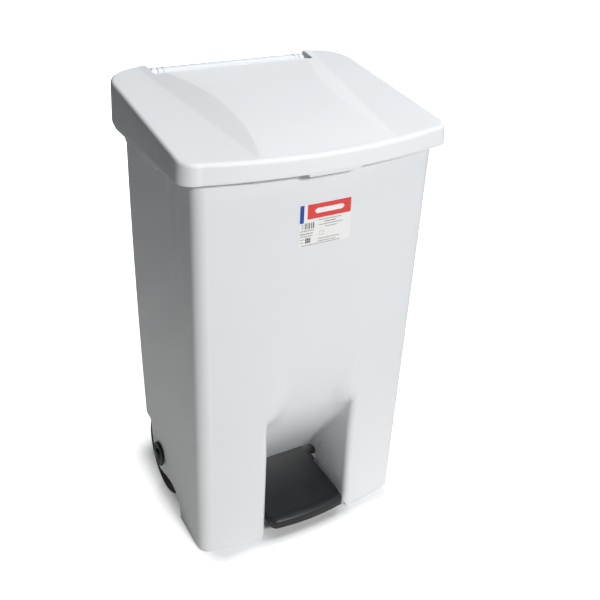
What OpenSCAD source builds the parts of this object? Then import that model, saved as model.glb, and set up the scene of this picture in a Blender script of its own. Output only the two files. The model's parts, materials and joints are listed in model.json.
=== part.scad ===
// Wheeled pedal bin: a tapered moulded body on two front legs and two rear wheels, a sloping lid
// hinged at its rear handle bar, and a foot pedal that lifts the lid through a lever and a push rod.
// Millimetres. +X right, +Y to the rear, +Z up; the origin is on the floor under the middle of the
// whole bin. Depths below are measured from the body's centre, and placed() moves each part.

/* [Body] */
// Width of the body at its rim
rim_w = 456; // [440:2:462]
// Width of the body at the floor
base_w = 416; // [408:2:424]
// Height of the rim above the floor
rim_z = 748; // [740:1:750]
// Front face at the rim's corners
rim_front = -188; // [-190:0.5:-186]
// Front face at the floor's corners
base_front = -168; // [-170:0.5:-166]
// Rear face at the rim
rim_rear = 160.5; // [160:0.25:161]
// Rear face at the floor
base_rear = 140.5; // [140:0.25:141]
// Outward bow of the front face at the rim
rim_bow = 10.4; // [8:0.2:12]
// Outward bow of the front face at the floor
base_bow = 19.3; // [16:0.2:21]
// Thickness of the moulded walls
wall = 3; // [2.5:0.25:3.5]
// Upright corner radius at the body's front
corner_r = 24; // [20:1:30]
// Upright corner radius at the body's rear
rear_corner_r = 38; // [32:1:44]
// Inside floor of the tub
floor_z = 133; // [133:1:140]

/* [Pedal recess] */
// Half width of the recess between the legs
recess_half = 86; // [85:0.5:88]
// Height where the scooped front wall starts
scoop_top = 405; // [380:5:420]
// Height of the scoop's rear lower edge
scoop_low = 55; // [50:1:60]
// Depth position of the scoop's rear lower edge
scoop_rear = -45; // [-48:1:-40]

/* [Lid] */
// Width of the lid
lid_w = 500; // [496:1:504]
// Height of the skirt's lower edge
skirt_z = 738; // [736:1:741]
// Height of the lid's top over the body's centre
lid_top_z = 799.6; // [799:0.2:801]
// Rise of the lid's top for each millimetre towards the rear
lid_slope = 0.145; // [0.14:0.005:0.15]
// Lid's front face at its corners
lid_front = -199; // [-201:0.5:-198]
// Outward bow of the lid's front face
lid_bow = 25.8; // [22:0.2:27]
// Rear face of the lid's two lobes
lid_rear = 186; // [185:0.25:187]
// Half width of the notch that clears the handle
notch_half = 165; // [164:0.5:167]
// Front edge of the notch
notch_front = 132; // [130:0.5:134]
// Height of the raised centre panel
panel_h = 11; // [8:0.5:12]

/* [Hinge and handle] */
// Depth position of the lid's hinge axis
hinge_y = 174; // [173.5:0.25:174.5]
// Height of the lid's hinge axis
hinge_z = 812; // [811.5:0.25:812.5]
// Radius of the handle bar
bar_r = 11; // [10:0.25:11]
// Radius of the hinge pins
pin_r = 4; // [3.5:0.25:4.5]
// Radial running clearance in every turning or sliding fit
run_gap = 0.06; // [0.03:0.01:0.09]

/* [Pedal and rod] */
// Depth position of the pedal's pivot
pivot_y = -76; // [-77:0.5:-75]
// Height of the pedal's pivot
pivot_z = 24; // [24:0.25:25]
// Radius of the pedal's pivot rod
pivot_r = 4; // [3.5:0.25:4]
// Half width of the pedal plate
pedal_half = 78; // [74:0.5:80]
// Radius of the push rod
rod_r = 3; // [2.5:0.25:3]
// Depth position of the push rod
rod_y = 153.5; // [153.25:0.25:153.75]
// Distance from the hinge axis to the lid's link pin
link_d = 24; // [24:0.1:24.4]

/* [Wheels] */
// Outer radius of the wheels
wheel_r = 82; // [80:0.5:83]
// Depth position of the wheel axle
axle_y = 32; // [28:0.5:33]
// Radius of the axle
axle_r = 6; // [5:0.25:6]
// Outer face of the wheels, measured from the middle of the bin
wheel_out = 203; // [202:0.25:203.25]
// Width of a wheel
wheel_w = 36; // [32:1:38]

/* [Hidden] */
$fn = 48;
eps = 0.01;

axle_z = wheel_r;
lid_tilt = atan(lid_slope);
band_z = 708;            // lower edge of the thicker band on the sides of the rim
band_front = -34;        // where that band starts behind the front corners
flange = 3;              // rim flange outside the body wall
channel_half = 13;       // half width of the push rod's channel in the rear wall
channel_floor = 144;     // the channel's floor
well_in = 160;           // inner face of the wheel wells
well_out = 206;          // outer face of the wheel wells
leg_rear = -66;          // rear face of the front legs
ear_in = 150;            // inner face of the handle's ears
ear_out = 160;           // outer face of the handle's ears
ear_r = 13;              // radius of an ear round the hinge pin
link_y = hinge_y - link_d*cos(45);
link_z = hinge_z - link_d*sin(45);
lever_top = 33.5;        // top of the steel lever
pedal_top = 40;          // top of the pedal plate's side edges
lever_t = 5;             // thickness of the steel lever

function mix(a, b, t) = a + (b - a)*t;

// Closed outline with a bowed front edge and four round corners.
function bowed_plan(half, front, rear, bow, rf, rr, n = 12, c = 6) = concat(
    [for (i = [0:n]) let (x = (half - rf)*(2*i/n - 1), k = x/(half - rf))
        [x, front - bow*(1 - k*k)]],
    [for (i = [1:c]) let (a = -90 + 90*i/c) [half - rf + rf*cos(a), front + rf + rf*sin(a)]],
    [for (i = [0:c]) let (a = 90*i/c) [half - rr + rr*cos(a), rear - rr + rr*sin(a)]],
    [for (i = [0:c]) let (a = 90 + 90*i/c) [-half + rr + rr*cos(a), rear - rr + rr*sin(a)]],
    [for (i = [0:c - 1]) let (a = 180 + 90*i/c) [-half + rf + rf*cos(a), front + rf + rf*sin(a)]]);

// Outline of the body at height z, moved in by the given amount.
function body_plan(z, inset) = let (t = z/rim_z) bowed_plan(
    mix(base_w, rim_w, t)/2 - inset,
    mix(base_front, rim_front, t) + inset,
    mix(base_rear, rim_rear, t) - inset,
    mix(base_bow, rim_bow, t),
    corner_r - inset,
    rear_corner_r - inset);

// Outline of the lid; the skirt flares by 1 mm a side towards its lower edge.
function lid_plan(z, inset) = let (flare = mix(1, -1, (z - skirt_z)/90)) bowed_plan(
    lid_w/2 + flare - inset,
    lid_front - flare + inset,
    lid_rear - inset,
    lid_bow,
    33 - inset,
    66 - inset);

module tapered_body(z0, z1, inset) {
    hull() {
        translate([0, 0, z0]) linear_extrude(eps) polygon(body_plan(z0, inset));
        translate([0, 0, z1 - eps]) linear_extrude(eps) polygon(body_plan(z1, inset));
    }
}

// A side profile, given as [y, z] points, made as a solid between two x positions.
module side_profile(x0, x1, points) {
    translate([x0, 0, 0]) rotate([90, 0, 90]) linear_extrude(x1 - x0) polygon(points);
}

module x_rod(x0, x1, y, z, r) {
    translate([x0, y, z]) rotate([0, 90, 0]) cylinder(r = r, h = x1 - x0);
}

module slab(low, high) {
    translate(low) cube(high - low);
}

// ---- Body -----------------------------------------------------------------------------------

// The scoop's curve from the front face down and back to its lower edge.
scoop_p = [[-194, scoop_top], [-190, 230], [-130, 190], [scoop_rear, scoop_low]];
function bez(p, t) = pow(1 - t, 3)*p[0] + 3*t*pow(1 - t, 2)*p[1] + 3*t*t*(1 - t)*p[2] + pow(t, 3)*p[3];
function bez_dir(p, t) = 3*pow(1 - t, 2)*(p[1] - p[0]) + 6*t*(1 - t)*(p[2] - p[1]) + 3*t*t*(p[3] - p[2]);
function scoop_point(t, out) = let (d = bez_dir(scoop_p, t)) bez(scoop_p, t) + out*[-d[1], d[0]]/norm(d);
function scoop_outline(out) = concat(
    [for (i = [0:12]) scoop_point(i/12, out)],
    [[scoop_rear, -1], [-260, -1], [-260, scoop_top + out]]);

// Space in front of the scooped wall, grown by out on its sides and rear.
module recess(out) {
    side_profile(-recess_half - out, recess_half + out, scoop_outline(out));
}

module wheel_well(side, out) {
    x0 = side < 0 ? -well_out : well_in - out;
    x1 = side < 0 ? -well_in + out : well_out;
    x_rod(x0, x1, axle_y, axle_z, wheel_r + 8 + out);
    slab([x0, axle_y - wheel_r - 8 - out, -2], [x1, axle_y + wheel_r + 8 + out, axle_z]);
}

// Everything below the side walls' lower edge behind the legs.
undercut = [[leg_rear, -2], [leg_rear, 34], [-60, 42], [-44, 50], [-15, 54], [6, 50], [22, 43],
            [38, 41], [53, 44], [66, 56], [75, 76], [80, 100], [82, 122], [88, 130], [210, 130], [210, -2]];

module push_channel(out) {
    slab([-channel_half - out, channel_floor - out, 100], [channel_half + out, 200, rim_z + 2]);
}

module ear(side) {
    x0 = side < 0 ? -ear_out : ear_in;
    side_profile(x0, x0 + ear_out - ear_in, [[158, 690], [160, 690], [181, 744], [187, 780],
        [hinge_y + ear_r, hinge_z], [hinge_y - ear_r, hinge_z], [160, 780], [156, 746]]);
    x_rod(x0, x0 + ear_out - ear_in, hinge_y, hinge_z, ear_r);
}

module rim_bands() {
    translate([0, 0, rim_z - 6]) linear_extrude(6) polygon(body_plan(rim_z, -flange));
    for (side = [-1, 1]) intersection() {
        translate([0, 0, band_z]) linear_extrude(rim_z - band_z) polygon(body_plan(rim_z, -2));
        slab([side < 0 ? -300 : 150, band_front, band_z - 1], [side < 0 ? -150 : 300, 300, rim_z]);
    }
}

module body() {
    color("whitesmoke") difference() {
        union() {
            tapered_body(0, rim_z, 0);
            rim_bands();
            ear(-1);
            ear(1);
            slab([-16, 143.5, 180], [16, 148, 210]);
        }
        difference() {
            tapered_body(floor_z, rim_z + 1, wall);
            recess(wall);
            wheel_well(-1, wall);
            wheel_well(1, wall);
            push_channel(wall);
        }
        difference() {
            tapered_body(-1, floor_z - wall, wall);
            recess(wall);
            wheel_well(-1, wall);
            wheel_well(1, wall);
            slab([-300, leg_rear - wall, -2], [300, leg_rear, 140]);
            slab([-300, -230, -2], [300, -130, wall]);
        }
        recess(0);
        wheel_well(-1, 0);
        wheel_well(1, 0);
        push_channel(0);
        side_profile(-300, 300, undercut);
        x_rod(-300, 300, axle_y, axle_z, axle_r + 0.1);
        x_rod(-recess_half - 6, recess_half + 6, pivot_y, pivot_z, pivot_r + 0.1);
        x_rod(-ear_out - 2, -ear_in + 2, hinge_y, hinge_z, pin_r + run_gap);
        x_rod(ear_in - 2, ear_out + 2, hinge_y, hinge_z, pin_r + run_gap);
    }
}

module handle_bar() {
    end = ear_in - 0.4;
    color("white") difference() {
        x_rod(-end, end, hinge_y, hinge_z, bar_r);
        x_rod(-end - 1, -end + 20, hinge_y, hinge_z, pin_r + run_gap);
        x_rod(end - 20, end + 1, hinge_y, hinge_z, pin_r + run_gap);
    }
}

// ---- Lid ------------------------------------------------------------------------------------

// Moves its children from the plane of the lid's top into place.
module on_lid_top() {
    translate([0, 0, lid_top_z]) rotate([lid_tilt, 0, 0]) children();
}

module below_lid_top(drop) {
    on_lid_top() translate([-300, -300, -300 - drop]) cube([600, 600, 300]);
}

module lid_prism(inset) {
    hull() {
        translate([0, 0, skirt_z - inset]) linear_extrude(eps) polygon(lid_plan(skirt_z, inset));
        translate([0, 0, skirt_z + 110]) linear_extrude(eps) polygon(lid_plan(skirt_z + 110, inset));
    }
}

// The raised panel: an arch from front to rear, with a sloping facet along each side.
panel_mid = -5;
panel_reach = 208;
panel_arch_r = (panel_reach*panel_reach + panel_h*panel_h)/(2*panel_h);
facet_turn = 8.25;
facet_tilt = 13.2;
module facet_side(drop) {
    translate([-129, -200, -drop]) rotate([0, 0, facet_turn]) rotate([0, -facet_tilt, 0])
        translate([-100, -300, -400]) cube([620, 900, 400]);
}
module raised_panel(drop) {
    on_lid_top() intersection() {
        translate([-220, panel_mid, panel_h - drop - panel_arch_r]) rotate([0, 90, 0])
            cylinder(r = panel_arch_r, h = 440, $fn = 720);
        facet_side(drop);
        mirror([1, 0, 0]) facet_side(drop);
        translate([-200, -panel_reach, -20]) cube([400, panel_reach + lid_rear, 60]);
    }
}

module lid_notch(out) {
    slab([-notch_half - out, notch_front - out, 700], [notch_half + out, 300, 900]);
}

module lid_lug(side) {
    x0 = side < 0 ? -8 : 5;
    side_profile(x0, x0 + 3, [[notch_front - 2, 783], [notch_front - 2, 808], [link_y + 2, link_z + 6],
        [link_y + 6, link_z], [link_y + 2, link_z - 6]]);
    x_rod(x0, x0 + 3, link_y, link_z, 6);
}

module lid() {
    color("snow") difference() {
        union() {
            difference() {
                union() {
                    intersection() {
                        lid_prism(0);
                        below_lid_top(0);
                    }
                    raised_panel(0);
                }
                difference() {
                    union() {
                        intersection() {
                            lid_prism(wall);
                            below_lid_top(wall);
                        }
                        raised_panel(wall);
                    }
                    lid_notch(wall);
                }
                lid_notch(0);
            }
            lid_lug(-1);
            lid_lug(1);
            for (side = [-1, 1]) x_rod(side*172 - 4.5, side*172 + 4.5, hinge_y, hinge_z, 8);
            slab([-48, lid_front - lid_bow + 2, skirt_z - 6], [50, lid_front - lid_bow + 6, skirt_z + 2]);
        }
        side_profile(-300, 300, [[102, skirt_z - 8], [102, skirt_z], [150, 751], [210, 751], [210, skirt_z - 8]]);
        slab([-notch_half, 100, 700], [notch_half, notch_front + 1, 780]);
        x_rod(-180, -160, hinge_y, hinge_z, pin_r);
        x_rod(160, 180, hinge_y, hinge_z, pin_r);
        x_rod(-9, 9, link_y, link_z, 2);
    }
}

module hinge_pin(side) {
    color("silver") {
        x_rod(side < 0 ? -176.5 : 131, side < 0 ? -131 : 176.5, hinge_y, hinge_z, pin_r);
        x_rod(side < 0 ? -179.5 : 176.5, side < 0 ? -176.5 : 179.5, hinge_y, hinge_z, pin_r + 2.5);
    }
}

module lid_buffer(side) {
    color("gainsboro") translate([side*150, -191.5, rim_z + 0.1]) cylinder(r = 6, h = 19.7);
}

module lid_link_pin() {
    color("silver") x_rod(-9, 9, link_y, link_z, 2);
}

// ---- Pedal and rod --------------------------------------------------------------------------

function pedal_plan(inset) = bowed_plan(pedal_half - inset, -196 + inset, -58 - inset, 5, 12 - inset*0.8, 3, 12, 5);

module pedal() {
    color("dimgray") difference() {
        union() {
            difference() {
                translate([0, 0, 24]) linear_extrude(pedal_top - 24) polygon(pedal_plan(0));
                translate([0, -184, pedal_top + 700 - 3]) rotate([-90, 0, 0])
                    cylinder(r = 700, h = 200, $fn = 360);
                translate([0, 0, 21]) linear_extrude(lever_top - 21) polygon(pedal_plan(4));
                slab([-60, -70, 21], [60, -50, lever_top]);
            }
            slab([-76, -62, pedal_top - 5], [76, -50, pedal_top - 1]);
            slab([-104, -56, pedal_top - 5], [104, -14, pedal_top - 1]);
            for (side = [-1, 1]) x_rod(side*69 - 14, side*69 + 14, pivot_y, pivot_z, 8);
            difference() {
                translate([0, 0, pedal_top - 1]) linear_extrude(2.5) polygon(pedal_plan(2));
                translate([0, 0, pedal_top - 2]) linear_extrude(5) polygon(pedal_plan(8));
                slab([-100, -183, pedal_top - 2], [100, 0, pedal_top + 4]);
            }
        }
        x_rod(-90, 90, pivot_y, pivot_z, pivot_r + run_gap);
        translate([0, -140, 20]) cylinder(r = 2, h = 15.5);
        translate([0, -105, 20]) cylinder(r = 2, h = 15.5);
    }
}

module pedal_lever() {
    color("silver") difference() {
        slab([-10, -152, lever_top - lever_t], [10, 166, lever_top]);
        translate([0, -140, 20]) cylinder(r = 2.1, h = 20);
        translate([0, -105, 20]) cylinder(r = 2.1, h = 20);
        translate([0, rod_y, 20]) cylinder(r = 3, h = 20);
    }
}

module lever_screw(y) {
    color("silver") {
        translate([0, y, 24]) cylinder(r = 2, h = 11.4);
        translate([0, y, lever_top - lever_t - 2.5]) cylinder(r = 4, h = 2.5);
    }
}

module lever_cup() {
    color("black") {
        difference() {
            translate([0, rod_y, lever_top]) cylinder(r = 10, h = 8);
            translate([0, rod_y, lever_top + 1.5]) cylinder(r = 8, h = 10);
        }
        translate([0, rod_y, lever_top - lever_t]) cylinder(r = 3, h = lever_t + 0.5);
    }
}

module pedal_pivot_rod() {
    color("silver") x_rod(-recess_half - 10, recess_half + 10, pivot_y, pivot_z, pivot_r);
}

module pivot_nut(side) {
    x0 = side*(recess_half + wall + 1.6) - 1;
    color("silver") difference() {
        x_rod(x0, x0 + 2, pivot_y, pivot_z, 6.4);
        x_rod(x0 - 1, x0 + 3, pivot_y, pivot_z, pivot_r);
    }
}

// The rod stands on a blunt cone, so its end stays clear as the cup tilts.
module push_rod() {
    tip_z = lever_top + 2.3;
    color("silver") {
        translate([0, rod_y, tip_z]) cylinder(r1 = 1.4, r2 = rod_r, h = 3);
        translate([0, rod_y, tip_z + 3]) cylinder(r = rod_r, h = link_z - 12 - tip_z);
    }
}

module rod_eye() {
    slot_half = link_d*(1 - cos(45))/2 + 2 + 0.7;
    color("dimgray") difference() {
        union() {
            slab([-4, rod_y - slot_half - 2, link_z - 7], [4, rod_y + slot_half + 2, link_z + 5]);
            translate([0, rod_y, link_z - 20]) cylinder(r = 5, h = 14);
        }
        slab([-5, rod_y - slot_half, link_z - 3], [5, rod_y + slot_half, link_z + 3]);
        translate([0, rod_y, link_z - 21]) cylinder(r = rod_r, h = 12);
    }
}

module rod_guide(z, back) {
    color("whitesmoke") difference() {
        slab([-channel_half + 0.3, back + 0.05, z - 10], [channel_half - 0.3, 160, z + 10]);
        translate([0, rod_y, z - 11]) cylinder(r = rod_r + run_gap, h = 22);
    }
}

// ---- Wheels ---------------------------------------------------------------------------------

// Turns a profile of [radius, x] points about the axle, on the left or right side.
module turned(side, points) {
    translate([0, axle_y, axle_z]) rotate([0, side*90, 0]) rotate_extrude($fn = 96) polygon(points);
}

wheel_in = wheel_out - wheel_w;
tyre_in_r = wheel_r - 18;

module wheel(side) {
    color("dimgray") turned(side, [[axle_r + run_gap, well_in + 1.5], [15, well_in + 1.5], [15, wheel_in + 8],
        [22, wheel_in + 14], [tyre_in_r - 6, wheel_in + 14], [tyre_in_r - 4, wheel_in + 3],
        [tyre_in_r, wheel_in + 3], [tyre_in_r, wheel_out - 3], [tyre_in_r - 4, wheel_out - 3],
        [tyre_in_r - 6, wheel_out - 12], [22, wheel_out - 12], [15, wheel_out - 4], [15, wheel_out],
        [axle_r + run_gap, wheel_out]]);
}

module tyre(side) {
    color("black") turned(side, [[tyre_in_r, wheel_in + 2], [tyre_in_r + 6, wheel_in],
        [wheel_r - 6, wheel_in], [wheel_r - 2, wheel_in + 2], [wheel_r, wheel_in + 6],
        [wheel_r, wheel_out - 6], [wheel_r - 2, wheel_out - 2], [wheel_r - 6, wheel_out],
        [tyre_in_r + 6, wheel_out], [tyre_in_r, wheel_out - 2]]);
}

module axle() {
    color("silver") x_rod(-219, 219, axle_y, axle_z, axle_r);
}

module axle_washer(side) {
    color("silver") turned(side, [[axle_r, wheel_out + 0.4], [13, wheel_out + 0.4],
        [13, wheel_out + 2.4], [axle_r, wheel_out + 2.4]]);
}

module axle_cap(side) {
    color("black") turned(side, [[axle_r, 211.3], [23.5, 211.3], [23.5, 213.5], [21.5, 217], [18, 219],
        [15.5, 219], [13.8, 216.2], [11.8, 216.2], [10.5, 221], [0, 222], [0, 219], [axle_r, 219]]);
}

// ---- Label ----------------------------------------------------------------------------------

module label() {
    lean = (base_front - base_bow - rim_front + rim_bow)/rim_z;
    color("white") translate([3, base_front - base_bow - 0.1, 0]) rotate([atan(lean), 0, 0])
        slab([-50, -0.4, 598], [50, 0, 674]);
}

// From the body's centre to the middle of the bin's overall length, lid front to ear rear.
frame_y = -((lid_front - lid_bow - 1) + (hinge_y + 13))/2;

module placed() {
    translate([0, frame_y, 0]) children();
}

placed() body();
placed() handle_bar();
placed() lid();
placed() hinge_pin(-1);  // hinge_pin_left
placed() hinge_pin(1);  // hinge_pin_right
placed() lid_buffer(-1);  // lid_buffer_left
placed() lid_buffer(1);  // lid_buffer_right
placed() lid_link_pin();
placed() pedal();
placed() pedal_lever();
placed() lever_screw(-140);  // lever_screw_front
placed() lever_screw(-105);  // lever_screw_rear
placed() lever_cup();
placed() pedal_pivot_rod();
placed() pivot_nut(-1);  // pivot_nut_left
placed() pivot_nut(1);  // pivot_nut_right
placed() push_rod();
placed() rod_eye();
placed() rod_guide(690, channel_floor);  // rod_guide_upper
placed() rod_guide(440, channel_floor);  // rod_guide_middle
placed() rod_guide(195, 148);  // rod_guide_lower
placed() axle();
placed() wheel(-1);  // wheel_left
placed() tyre(-1);  // tyre_left
placed() wheel(1);  // wheel_right
placed() tyre(1);  // tyre_right
placed() axle_washer(-1);  // axle_washer_left
placed() axle_washer(1);  // axle_washer_right
placed() axle_cap(-1);  // axle_cap_left
placed() axle_cap(1);  // axle_cap_right
placed() label();
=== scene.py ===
from contextlib import contextmanager
import json
import math

import bmesh
import bpy
import numpy as np
from mathutils import Matrix, Vector
from mathutils.geometry import delaunay_2d_cdt

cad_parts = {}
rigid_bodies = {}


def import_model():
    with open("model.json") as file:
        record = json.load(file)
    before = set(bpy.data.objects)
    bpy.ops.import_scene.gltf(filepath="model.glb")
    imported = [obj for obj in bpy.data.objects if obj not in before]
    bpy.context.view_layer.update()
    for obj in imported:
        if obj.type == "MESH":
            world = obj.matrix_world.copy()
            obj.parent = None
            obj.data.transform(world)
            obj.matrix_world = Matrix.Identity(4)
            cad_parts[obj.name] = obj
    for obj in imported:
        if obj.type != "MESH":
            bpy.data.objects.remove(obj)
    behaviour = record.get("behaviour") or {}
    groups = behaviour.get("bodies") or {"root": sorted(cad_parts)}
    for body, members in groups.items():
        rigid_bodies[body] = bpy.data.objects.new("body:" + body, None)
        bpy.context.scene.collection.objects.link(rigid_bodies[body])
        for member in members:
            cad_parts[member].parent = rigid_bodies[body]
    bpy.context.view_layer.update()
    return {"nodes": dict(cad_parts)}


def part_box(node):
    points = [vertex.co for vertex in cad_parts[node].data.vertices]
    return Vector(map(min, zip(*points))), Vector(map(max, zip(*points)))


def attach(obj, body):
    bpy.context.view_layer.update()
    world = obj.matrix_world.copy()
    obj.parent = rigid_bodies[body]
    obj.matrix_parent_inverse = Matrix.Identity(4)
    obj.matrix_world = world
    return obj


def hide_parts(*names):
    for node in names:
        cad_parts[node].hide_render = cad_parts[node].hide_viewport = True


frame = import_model()


# ---- Driving dimensions, in metres; the frame gives what it can -----------------------------

HINGE_DEPTH = 0.174         # the hinge's depth behind the body's centre

# Pieces are built about the body's centre; finish_piece moves them to the row's origin.
SHIFT = Vector((0, (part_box("handle_bar")[0].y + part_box("handle_bar")[1].y) / 2 - HINGE_DEPTH, 0))


def local_box(node):
    lo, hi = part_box(node)
    return lo - SHIFT, hi - SHIFT


def centre_of(node):
    lo, hi = local_box(node)
    return (lo + hi) / 2


AXLE = centre_of("axle")
HINGE = centre_of("handle_bar")
BAR_LO, BAR_HI = local_box("handle_bar")
LID_LO, LID_HI = local_box("lid")
TYRE_LO, TYRE_HI = local_box("tyre_right")
CAP_LO = local_box("axle_cap_right")[0]
LABEL_LO, LABEL_HI = local_box("label")
WHEEL_R = AXLE.z

RIM_Z = 0.748              # height of the body's rim
WALL = 0.003               # wall thickness of the mouldings
RIM_PLAN = dict(half=0.228, front=-0.188, rear=0.1605, bow=0.0104)
BASE_PLAN = dict(half=0.208, front=-0.168, rear=0.1405, bow=0.0193)
CORNER_R = 0.0235          # front corners
LEG_REAR = -0.064          # rear edge of the front legs
FLUTES_FRONT = LEG_REAR * 2.2
FLOOR_Z = 0.130            # underside of the tub's floor
RECESS_HALF = 0.086        # half width of the pedal recess
SCOOP = ((-0.194, 0.405), (-0.190, 0.230), (-0.130, 0.190), (-0.045, 0.055))
CHANNEL_HALF = 0.013       # push rod channel in the rear wall
CHANNEL_Y = 0.144
BAND_Z = 0.708             # thicker band along the sides of the rim
BAND_FRONT = -0.034
FLANGE_Z = 0.742           # the rim's flange starts here
WELL_IN = 0.160            # inner face of the wheel wells

LID_SLOPE = 0.145
LID_TOP = LID_HI.z - LID_SLOPE * LID_HI.y
NOTCH_HALF = 0.165
NOTCH_Y = 0.132
SKIRT_Z = 0.738
REAR_SKIRT_Z = 0.751

PEDAL_HALF = 0.078         # half width of the pedal's plate


# ---- Mesh helpers ---------------------------------------------------------------------------

def new_object(name, verts, faces, smooth=True):
    mesh = bpy.data.meshes.new(name)
    mesh.from_pydata([tuple(v) for v in verts], [], [tuple(f) for f in faces])
    mesh.update()
    obj = bpy.data.objects.new(name, mesh)
    bpy.context.scene.collection.objects.link(obj)
    if smooth:
        mesh.polygons.foreach_set("use_smooth", [True] * len(mesh.polygons))
    return obj


@contextmanager
def edited(obj):
    """Opens an object's mesh for editing and writes it back."""
    bm = bmesh.new()
    bm.from_mesh(obj.data)
    yield bm
    bm.to_mesh(obj.data)
    bm.free()


def weld(obj, dist=1e-6):
    with edited(obj) as bm:
        bmesh.ops.remove_doubles(bm, verts=bm.verts, dist=dist)
        bmesh.ops.dissolve_degenerate(bm, edges=bm.edges, dist=dist)
        bmesh.ops.recalc_face_normals(bm, faces=bm.faces)
    return obj


def face_out(obj, point):
    """Makes the skin's normals point away from a point inside it."""
    with edited(obj) as bm:
        total = sum((f.calc_center_median() - point).dot(f.normal) * f.calc_area() for f in bm.faces)
        if total < 0:
            bmesh.ops.reverse_faces(bm, faces=bm.faces)
    return obj


def face_up(obj):
    """Makes a flat sheet's normals point up."""
    with edited(obj) as bm:
        bmesh.ops.recalc_face_normals(bm, faces=bm.faces)
        if sum(f.normal.z * f.calc_area() for f in bm.faces) < 0:
            bmesh.ops.reverse_faces(bm, faces=bm.faces)


def freeze(obj, sharp_deg=40):
    """Applies the modifiers, then shades smooth with sharp edges over an angle."""
    dg = bpy.context.evaluated_depsgraph_get()
    dg.update()
    mesh = bpy.data.meshes.new_from_object(obj.evaluated_get(dg))
    mesh.name = obj.name
    obj.modifiers.clear()
    obj.data = mesh
    mesh.polygons.foreach_set("use_smooth", [True] * len(mesh.polygons))
    mesh.set_sharp_from_angle(angle=math.radians(sharp_deg))
    return obj


def thicken(obj, thickness, bevel):
    """Gives a skin its thickness on the inner side, and softens its edges."""
    solid = obj.modifiers.new("thickness", "SOLIDIFY")
    solid.thickness = thickness
    solid.offset = -1
    if bevel:
        add_bevel(obj, bevel, 55)
    return freeze(obj)


def add_bevel(obj, width, angle=35):
    mod = obj.modifiers.new("bevel", "BEVEL")
    mod.width = width
    mod.segments = 2
    mod.limit_method = "ANGLE"
    mod.angle_limit = math.radians(angle)
    mod.use_clamp_overlap = True
    mod.harden_normals = False
    return obj


def finish_piece(obj, body, material, slot, *nodes):
    obj.data.materials.clear()
    obj.data.materials.append(material)
    obj.data.transform(Matrix.Translation(SHIFT))
    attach(obj, body)
    if nodes:
        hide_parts(*nodes)
    return obj


def extrude_profile(name, points, axis, low, high, bevel=0.001):
    """A solid from a closed outline in the plane across an axis: x takes (y, z), z takes (x, y)."""
    def place(p, t):
        return (t, p[0], p[1]) if axis == "x" else (p[0], p[1], t)
    n = len(points)
    verts = [place(p, low) for p in points] + [place(p, high) for p in points]
    faces = [tuple(range(n))[::-1], tuple(range(n, 2 * n))]
    faces += [(i, (i + 1) % n, n + (i + 1) % n, n + i) for i in range(n)]
    obj = weld(new_object(name, verts, faces))
    if bevel:
        add_bevel(obj, bevel)
    return freeze(obj, 30)


def lathe(name, profile, x_centre, centre, steps=96, side=1, bevel=0.0):
    """Turns a closed profile of (radius, offset along X) about the line through centre along X."""
    verts, faces = [], []
    n = len(profile)
    for k in range(steps):
        a = 2 * math.pi * k / steps
        for r, x in profile:
            verts.append((x_centre + side * x, centre.y + r * math.cos(a), centre.z + r * math.sin(a)))
    for k in range(steps):
        for i in range(n):
            j = (i + 1) % n
            a, b = k * n, ((k + 1) % steps) * n
            faces.append((a + i, a + j, b + j, b + i))
    obj = weld(new_object(name, verts, faces))
    if bevel:
        add_bevel(obj, bevel)
    return freeze(obj, 35)


def ring_boss(name, bore, reach, x, centre, side, bevel):
    """A round boss of 8 mm radius on an axis along X, reaching as far to each side of x."""
    profile = [(bore, -reach), (0.008, -reach), (0.008, reach), (bore, reach)]
    return lathe(name, profile, x, centre, 40, side, bevel)


def groove(r, at, depth, foot, mouth):
    """A groove in a lathe profile, around a place along X; foot and mouth are its half widths."""
    return [(r, at - mouth), (r - depth, at - foot), (r - depth, at + foot), (r, at + mouth)]


def arc(cx, cy, r, a0, a1, n):
    """Points on a circle between two angles in radians."""
    return [(cx + r * math.cos(a), cy + r * math.sin(a)) for a in np.linspace(a0, a1, n)]


def arc_points(cx, cy, r, a0, a1, n):
    """Points on a circle between two angles in degrees."""
    return arc(cx, cy, r, math.radians(a0), math.radians(a1), n)


def join(objs, name):
    for o in bpy.context.view_layer.objects:
        o.select_set(False)
    for o in objs:
        o.select_set(True)
    bpy.context.view_layer.objects.active = objs[0]
    bpy.ops.object.join()
    objs[0].name = name
    objs[0].data.name = name
    return objs[0]


# ---- Materials ------------------------------------------------------------------------------

def node_material(name):
    mat = bpy.data.materials.new(name)
    mat.use_nodes = True
    nodes, links = mat.node_tree.nodes, mat.node_tree.links
    shader = nodes["Principled BSDF"]
    coords = nodes.new("ShaderNodeTexCoord").outputs["Object"]
    return mat, nodes, links, shader, coords


def noise_node(nodes, links, coords, scale, detail=3.0, rough=0.5, stretch=None):
    if stretch:
        mapping = nodes.new("ShaderNodeMapping")
        mapping.inputs["Scale"].default_value = stretch
        links.new(coords, mapping.inputs["Vector"])
        coords = mapping.outputs["Vector"]
    tex = nodes.new("ShaderNodeTexNoise")
    tex.inputs["Scale"].default_value = scale
    tex.inputs["Detail"].default_value = detail
    tex.inputs["Roughness"].default_value = rough
    links.new(coords, tex.inputs["Vector"])
    return tex.outputs["Fac"]


def ramp(nodes, links, value, stops):
    node = nodes.new("ShaderNodeValToRGB")
    node.color_ramp.elements[0].position, node.color_ramp.elements[0].color = stops[0]
    node.color_ramp.elements[1].position, node.color_ramp.elements[1].color = stops[-1]
    for position, colour in stops[1:-1]:
        node.color_ramp.elements.new(position).color = colour
    links.new(value, node.inputs["Fac"])
    return node.outputs["Color"]


def grey(v):
    return (v, v, v, 1.0)


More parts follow.
